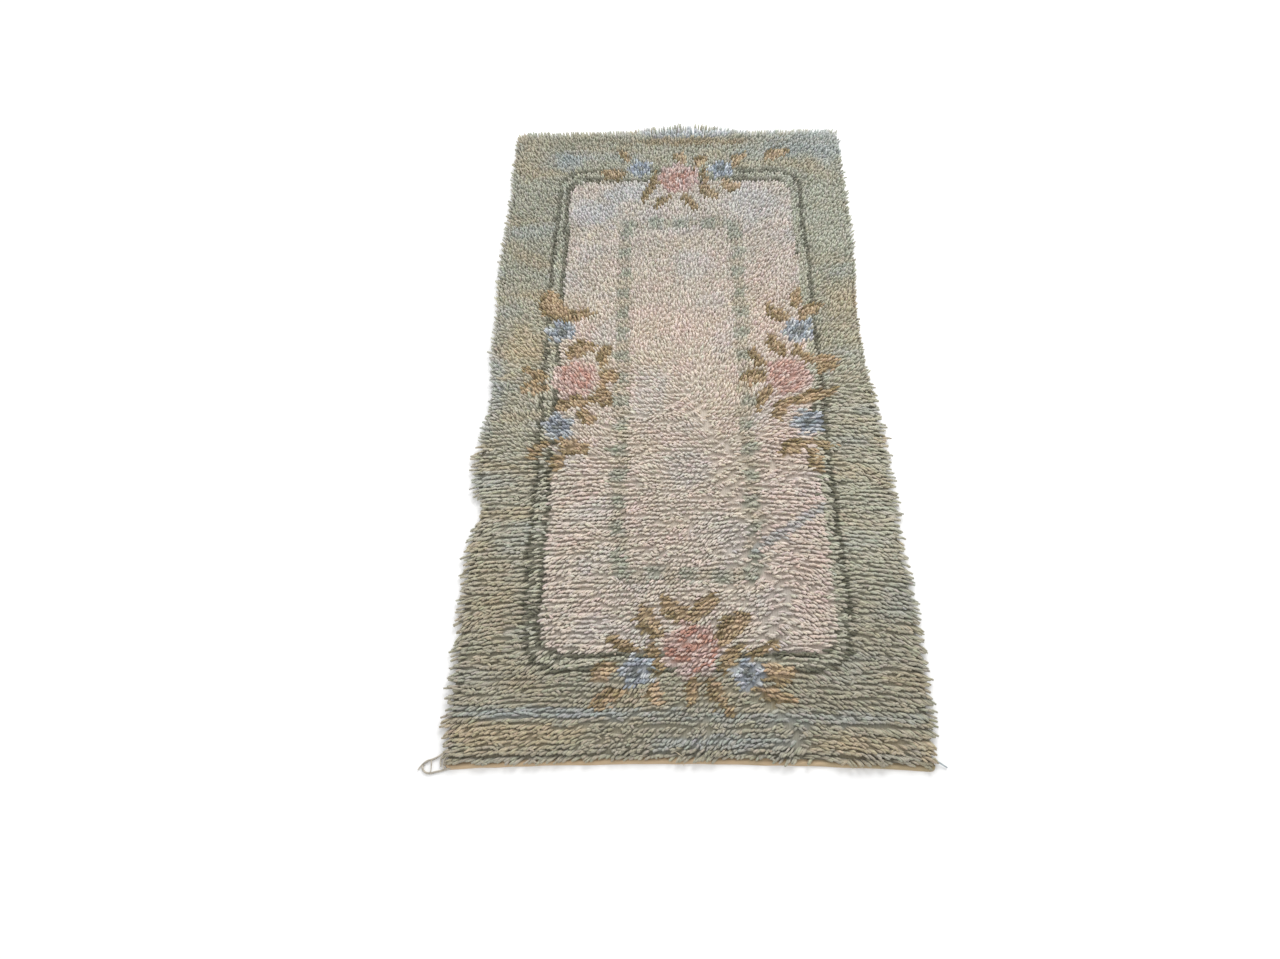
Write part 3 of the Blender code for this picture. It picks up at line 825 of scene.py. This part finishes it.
def build_mat(wool):
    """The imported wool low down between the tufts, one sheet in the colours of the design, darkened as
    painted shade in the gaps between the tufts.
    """
    along = np.linspace(0.0, 1.0, ROWS + 1)[:, None]
    across = np.linspace(0.0, 1.0, KNOTS + 1)[None, :]
    x, y = on_canvas(along, across)
    shape = x.shape
    edge = np.minimum(np.minimum(across, 1.0 - across) * KNOTS, np.minimum(along, 1.0 - along) * ROWS)
    x, y = x.ravel(), y.ravel()
    rise = lean_at(x, y, y / ROW_PITCH).rise
    seen_x, seen_y = seen_at(x, y, 0.010)
    colours, _ = knot_colours(seen_x, seen_y)
    # Towards the near end, and more at the sides, the mat sits lower from wear and gets more painted shade
    wear_and_painted_shade = smooth((0.10 - y) / 0.35) * mix(0.45, 1.0, smooth(np.abs(x) / 0.30))
    z = CANVAS_TOP + mix(MAT_SHARE, 0.88 * MAT_SHARE, wear_and_painted_shade) * rise * smooth(edge.ravel() / 2.0)
    # Painted shade: the mat's colours are darkened by its shade factor, down to 0.8 of that towards the near
    # end
    colours = colours * mix(MAT_PAINTED_SHADE, 0.80 * MAT_PAINTED_SHADE, wear_and_painted_shade)[:, None]
    index = np.arange(len(x)).reshape(shape)
    a, b, c, d = index[:-1, :-1], index[:-1, 1:], index[1:, 1:], index[1:, :-1]
    quads = np.stack([a, b, c, d], 2).reshape(-1, 4)
    mesh = mesh_from_quads("pile_mat", np.column_stack([x, y, z]), quads)
    corners = quads.ravel()
    set_uv(mesh, "yarn", np.column_stack([x[corners] / 0.012, np.full(len(corners), 0.6)]))
    attribute = mesh.color_attributes.new("wool", "FLOAT_COLOR", "POINT")
    tint = np.column_stack([colours, np.ones(len(x))])
    attribute.data.foreach_set("color", tint.ravel())
    mesh.shade_smooth()
    add_piece("pile_mat", mesh, wool, "pile")


def build_pile():
    """All the yarn ends, in one piece for each part of the design."""
    rng = np.random.default_rng(5)
    x, y, row = place_knots(rng)
    lean = lean_at(x, y, row)
    run, rise = scattered(lean, rng)
    seen = seen_at(x + 0.85 * lean.run_x, y + 0.85 * lean.run_y, CANVAS_TOP + 0.9 * lean.rise)
    seen_x, seen_y = (place.reshape(-1, ENDS).mean(axis=1) for place in seen)
    colours, kind = knot_colours(seen_x, seen_y)
    kind = np.repeat(kind, ENDS)
    spread = np.where(np.isin(kind, ("leaves", "roses", "blooms")), 0.13, 0.08)
    colours = vary(np.repeat(colours, ENDS, axis=0), spread, rng)
    root = np.column_stack([x, y, np.full(len(x), CANVAS_TOP - 0.001)])
    mat = wool_material()
    build_mat(mat)
    groups = {
        "pile_border_far": (kind == "border") & (y > 0.35),
        "pile_border_left": (kind == "border") & (y <= 0.35) & (y > -0.45) & (x < 0.0),
        "pile_border_right": (kind == "border") & (y <= 0.35) & (y > -0.45) & (x >= 0.0),
        "pile_border_near": (kind == "border") & (y <= -0.45),
        "pile_panel_far": (kind == "panel") & (y > 0.17),
        "pile_panel_mid": (kind == "panel") & (y <= 0.17) & (y > -0.16),
        "pile_panel_near": (kind == "panel") & (y <= -0.16),
        "pile_green_lines": kind == "lines",
        "pile_bead_frame": kind == "beads",
        "pile_leaves": kind == "leaves",
        "pile_blue_flowers": kind == "blooms",
        "pile_roses": kind == "roses",
    }
    for name, chosen in groups.items():
        mesh = strand_mesh(name, root[chosen], run[chosen], rise[chosen], colours[chosen], rng)
        mesh.shade_smooth()
        add_piece(name, mesh, mat, "pile")


# Canvas

HemLine = namedtuple("HemLine", "inset top")
HEM = (
    HemLine(inset=0.0000, top=0.0010),
    HemLine(inset=0.0005, top=0.0024),
    HemLine(inset=0.0015, top=0.0036),
    HemLine(inset=0.0034, top=0.0042),
    HemLine(inset=0.0054, top=0.0038),
    HemLine(inset=0.0070, top=0.0026),
    HemLine(inset=0.0080, top=0.0020),
)
HEM_WAVE = 0.0004
CORNER_STEPS = (0.0004, 0.0016, 0.0034, 0.0056)   # extra lines that round the corners, from each side
RIGHT_CORNER_OUT = 0.006                         # the right near corner is stretched out by this much


def build_canvas():
    """The canvas, a thin closed sheet with its rolled hem and, behind, the colours of its knots."""
    corner = 1.0 - np.array(CORNER_STEPS) / HALF_CANVAS
    across = np.sort(np.concatenate([np.linspace(-1.0, 1.0, KNOTS + 1), corner, -corner]))
    along = np.linspace(0.0, 1.0, ROWS + 1)
    far = HALF_LENGTH - FAR_TUFTS - 0.006
    nominal = across * HALF_CANVAS
    past = np.clip(np.abs(nominal) - (HALF_CANVAS - CORNER_RADIUS), 0.0, CORNER_RADIUS)
    cut = CORNER_RADIUS - np.sqrt(CORNER_RADIUS ** 2 - past ** 2)
    flat_from = near_line(nominal) + HEM[-1].inset
    wave = HEM_WAVE * drift(nominal, nominal * 0.0, 0.03, 31)
    xs, ys, zs = [], [], []
    for line in HEM:
        share = line.inset / HEM[-1].inset
        xs.append(nominal)
        ys.append(mix(near_line(nominal) + cut, flat_from, share) + wave * (share == 0.0) * (past == 0.0))
        zs.append(np.full(len(across), line.top) + (line.top > CANVAS_TOP) * wave)
    for share in along[1:]:
        y = mix(flat_from, far, share)
        side = np.where(nominal < 0.0, side_rim(-1, y), side_rim(1, y)) - 0.006
        xs.append(across * side)
        ys.append(y)
        zs.append(np.full(len(across), CANVAS_TOP))
    x, y, z = np.array(xs), np.array(ys), np.array(zs)
    x = x + RIGHT_CORNER_OUT * smooth((x - 0.25) / 0.09) * np.exp(-((y + HALF_LENGTH) / 0.05) ** 2)
    lines, columns = x.shape
    top = np.stack([x, y, z], 2).reshape(-1, 3)
    under = np.stack([x, y, np.zeros_like(z)], 2).reshape(-1, 3)
    index = np.arange(lines * columns).reshape(lines, columns)
    a, b, c, d = index[:-1, :-1], index[:-1, 1:], index[1:, 1:], index[1:, :-1]
    up = np.stack([a, b, c, d], 2).reshape(-1, 4)
    down = np.stack([a, d, c, b], 2).reshape(-1, 4) + lines * columns
    loop = np.concatenate([index[0], index[1:, -1], index[-1, -2::-1], index[-2:0:-1, 0]])
    after = np.roll(loop, -1)
    walls = np.stack([after, loop, loop + lines * columns, after + lines * columns], 1)
    mesh = mesh_from_quads("canvas_sheet", np.concatenate([top, under]), np.concatenate([up, down, walls]))
    tones = np.tile(srgb(CANVAS_TONE), (len(top) * 2, 1))
    knots, _ = knot_colours(under[:, 0], under[:, 1])
    olive = smooth((top[:, 0] - 0.02) / 0.30) * 0.7 + 0.25 * drift(top[:, 0], top[:, 1], 0.02, 34)
    tones[:len(top)] = paint(tones[:len(top)], olive, HEM_OLIVE)
    behind = under[:, 1] > -HALF_LENGTH + HEM_SHOWS + NEAR_BOW
    tones[len(top):][behind] = 0.55 * knots[behind] + 0.45 * srgb(CANVAS_TONE)
    attribute = mesh.color_attributes.new("wool", "FLOAT_COLOR", "POINT")
    attribute.data.foreach_set("color", np.column_stack([tones, np.ones(len(tones))]).ravel())
    mesh.shade_smooth()
    mesh.set_sharp_from_angle(angle=math.radians(60.0))
    piece = add_piece("canvas_sheet", mesh, canvas_material(), "ground_canvas")


# Loose ends

YARN_DIAMETER = 0.0030
YARN_REST = 0.0018
LoopPoint = namedtuple("LoopPoint", "x y z")
LOOP_ROUTE = (
    LoopPoint(x=-0.3444, y=-0.6640, z=0.0052),
    LoopPoint(x=-0.3510, y=-0.6672, z=0.0042),
    LoopPoint(x=-0.3575, y=-0.6712, z=0.0028),
    LoopPoint(x=-0.3645, y=-0.6738, z=YARN_REST),
    LoopPoint(x=-0.3715, y=-0.6762, z=YARN_REST),
    LoopPoint(x=-0.3762, y=-0.6815, z=YARN_REST),
    LoopPoint(x=-0.3758, y=-0.6880, z=YARN_REST),
    LoopPoint(x=-0.3705, y=-0.6925, z=YARN_REST),
    LoopPoint(x=-0.3635, y=-0.6930, z=YARN_REST),
    LoopPoint(x=-0.3565, y=-0.6912, z=YARN_REST),
    LoopPoint(x=-0.3492, y=-0.6896, z=YARN_REST),
    LoopPoint(x=-0.3425, y=-0.6876, z=YARN_REST),
    LoopPoint(x=-0.3361, y=-0.6857, z=YARN_REST),
)


def smooth_route(points, between):
    """Points on one smooth curve through the given ones."""
    ends = [2.0 * points[0] - points[1]] + points + [2.0 * points[-1] - points[-2]]
    curve = []
    for before, a, b, after in zip(ends, ends[1:], ends[2:], ends[3:]):
        for step in range(between):
            t = step / between
            bend = 2.0 * before - 5.0 * a + 4.0 * b - after
            twist = 3.0 * a - before - 3.0 * b + after
            curve.append(0.5 * (2.0 * a + (b - before) * t + bend * t ** 2 + twist * t ** 3))
    return curve + [points[-1]]


def thread(name, points, radius, mat, taper=None):
    """A curve tube through the points, as thick at each as the taper says."""
    curve = bpy.data.curves.new(name, "CURVE")
    curve.dimensions = "3D"
    curve.bevel_depth = radius
    curve.bevel_resolution = 2
    curve.use_fill_caps = True
    spline = curve.splines.new("POLY")
    spline.points.add(len(points) - 1)
    for index, (point, spot) in enumerate(zip(spline.points, points)):
        point.co = (*spot, 1.0)
        point.radius = 1.0 if taper is None else taper(index / (len(points) - 1))
    curve.materials.append(mat)
    piece = bpy.data.objects.new(name, curve)
    bpy.context.scene.collection.objects.link(piece)
    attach(piece, "root")
    return piece


# Short ends too small to be free cords: where each starts, bends and stops
Stray = namedtuple("Stray", "name start bend stop radius tone")
STRAYS = (
    Stray(name="loop_tail", start=(-0.3685, -0.6752, 0.0034), bend=(-0.3765, -0.6790, 0.0040),
          stop=(-0.3830, -0.6885, 0.0014), radius=0.0013, tone=LOOP_TONE),
    Stray(name="loop_strand", start=(-0.3655, -0.6745, 0.0032), bend=(-0.3628, -0.6830, 0.0042),
          stop=(-0.3640, -0.6925, 0.0038), radius=0.0011, tone=LOOP_TONE),
    Stray(name="left_corner_end", start=(-0.3440, -0.6630, 0.0050), bend=(-0.3535, -0.6700, 0.0060),
          stop=(-0.3505, -0.6840, 0.0022), radius=0.0018, tone=LOOP_TONE),
    Stray(name="left_corner_second_end", start=(-0.3420, -0.6680, 0.0050), bend=(-0.3485, -0.6760, 0.0058),
          stop=(-0.3455, -0.6878, 0.0040), radius=0.0018, tone=LOOP_TONE),
    Stray(name="corner_tail", start=(0.3460, -0.6700, 0.0060), bend=(0.3560, -0.6760, 0.0040),
          stop=(0.3665, -0.6825, 0.0020), radius=0.0016, tone=BLUE_GREY),
    Stray(name="hem_thread", start=(-0.0200, -0.6610, 0.0090), bend=(-0.0060, -0.6690, 0.0075),
          stop=(-0.0030, -0.6720, 0.0060), radius=0.0006, tone=CREAM_THREAD),
    Stray(name="hem_thread_end", start=(-0.0032, -0.6718, 0.0060), bend=(-0.0034, -0.6760, 0.0050),
          stop=(-0.0046, -0.6812, 0.0012), radius=0.0006, tone=CREAM_THREAD),
)


def build_strays():
    mats = {}
    for stray in STRAYS:
        if stray.tone not in mats:
            mats[stray.tone] = thread_material("stray_" + str(len(mats) + 1), stray.tone)
        start, bend, stop = Vector(stray.start), Vector(stray.bend), Vector(stray.stop)
        steps = [k / 10.0 for k in range(11)]
        points = [start * (1 - t) ** 2 + bend * 2 * t * (1 - t) + stop * t ** 2 for t in steps]
        piece = thread(stray.name, points, stray.radius, mats[stray.tone], lambda t: 1.0 - 0.35 * t)


def build_loose_ends():
    yarn = thread_material("loose_yarn", LOOP_TONE)
    route = smooth_route([Vector(point) for point in LOOP_ROUTE], 4)
    loop = thread("yarn_loop", route, YARN_DIAMETER / 2.0, yarn)
    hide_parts("corner_loop")


# Studio

def build_studio():
    bpy.ops.mesh.primitive_plane_add(size=40.0, location=(0.0, 0.0, -0.0002))
    floor = bpy.context.object
    floor.name = "studio_floor"
    mat, nodes, links, shader = new_material("floor_white", 0.9, 0.0)
    shader.inputs["Base Color"].default_value = (0.93, 0.93, 0.93, 1.0)
    floor.data.materials.append(mat)
    world = bpy.data.worlds.new("studio")
    bpy.context.scene.world = world
    world.use_nodes = True
    world.node_tree.nodes["Background"].inputs[0].default_value = (1.0, 1.0, 1.0, 1.0)
    world.node_tree.nodes["Background"].inputs[1].default_value = 0.80
    soft_light("window", (0.8, 2.2, 2.4), (0.0, 0.0, 0.0), 2.2, 80.0)
    soft_light("fill", (-1.2, -0.6, 2.6), (0.0, 0.3, 0.0), 2.0, 10.0)
    camera = bpy.data.cameras.new("photo_view")
    camera.lens = CAMERA_LENS
    camera.sensor_width = SENSOR
    camera.sensor_fit = "HORIZONTAL"
    camera.clip_start = 0.01
    holder = bpy.data.objects.new("photo_view", camera)
    holder.location = CAMERA_PLACE
    holder.rotation_euler = [math.radians(angle) for angle in CAMERA_TURN]
    bpy.context.scene.collection.objects.link(holder)
    bpy.context.scene.camera = holder
    bpy.context.scene.view_settings.view_transform = "Standard"


def soft_light(name, place, aim, size, power):
    light = bpy.data.lights.new(name, "AREA")
    light.size = size
    light.energy = power
    holder = bpy.data.objects.new(name, light)
    holder.location = place
    holder.rotation_euler = (Vector(aim) - Vector(place)).to_track_quat("-Z", "Y").to_euler()
    bpy.context.scene.collection.objects.link(holder)


build_studio()
build_loose_ends()
build_strays()
build_canvas()
build_pile()
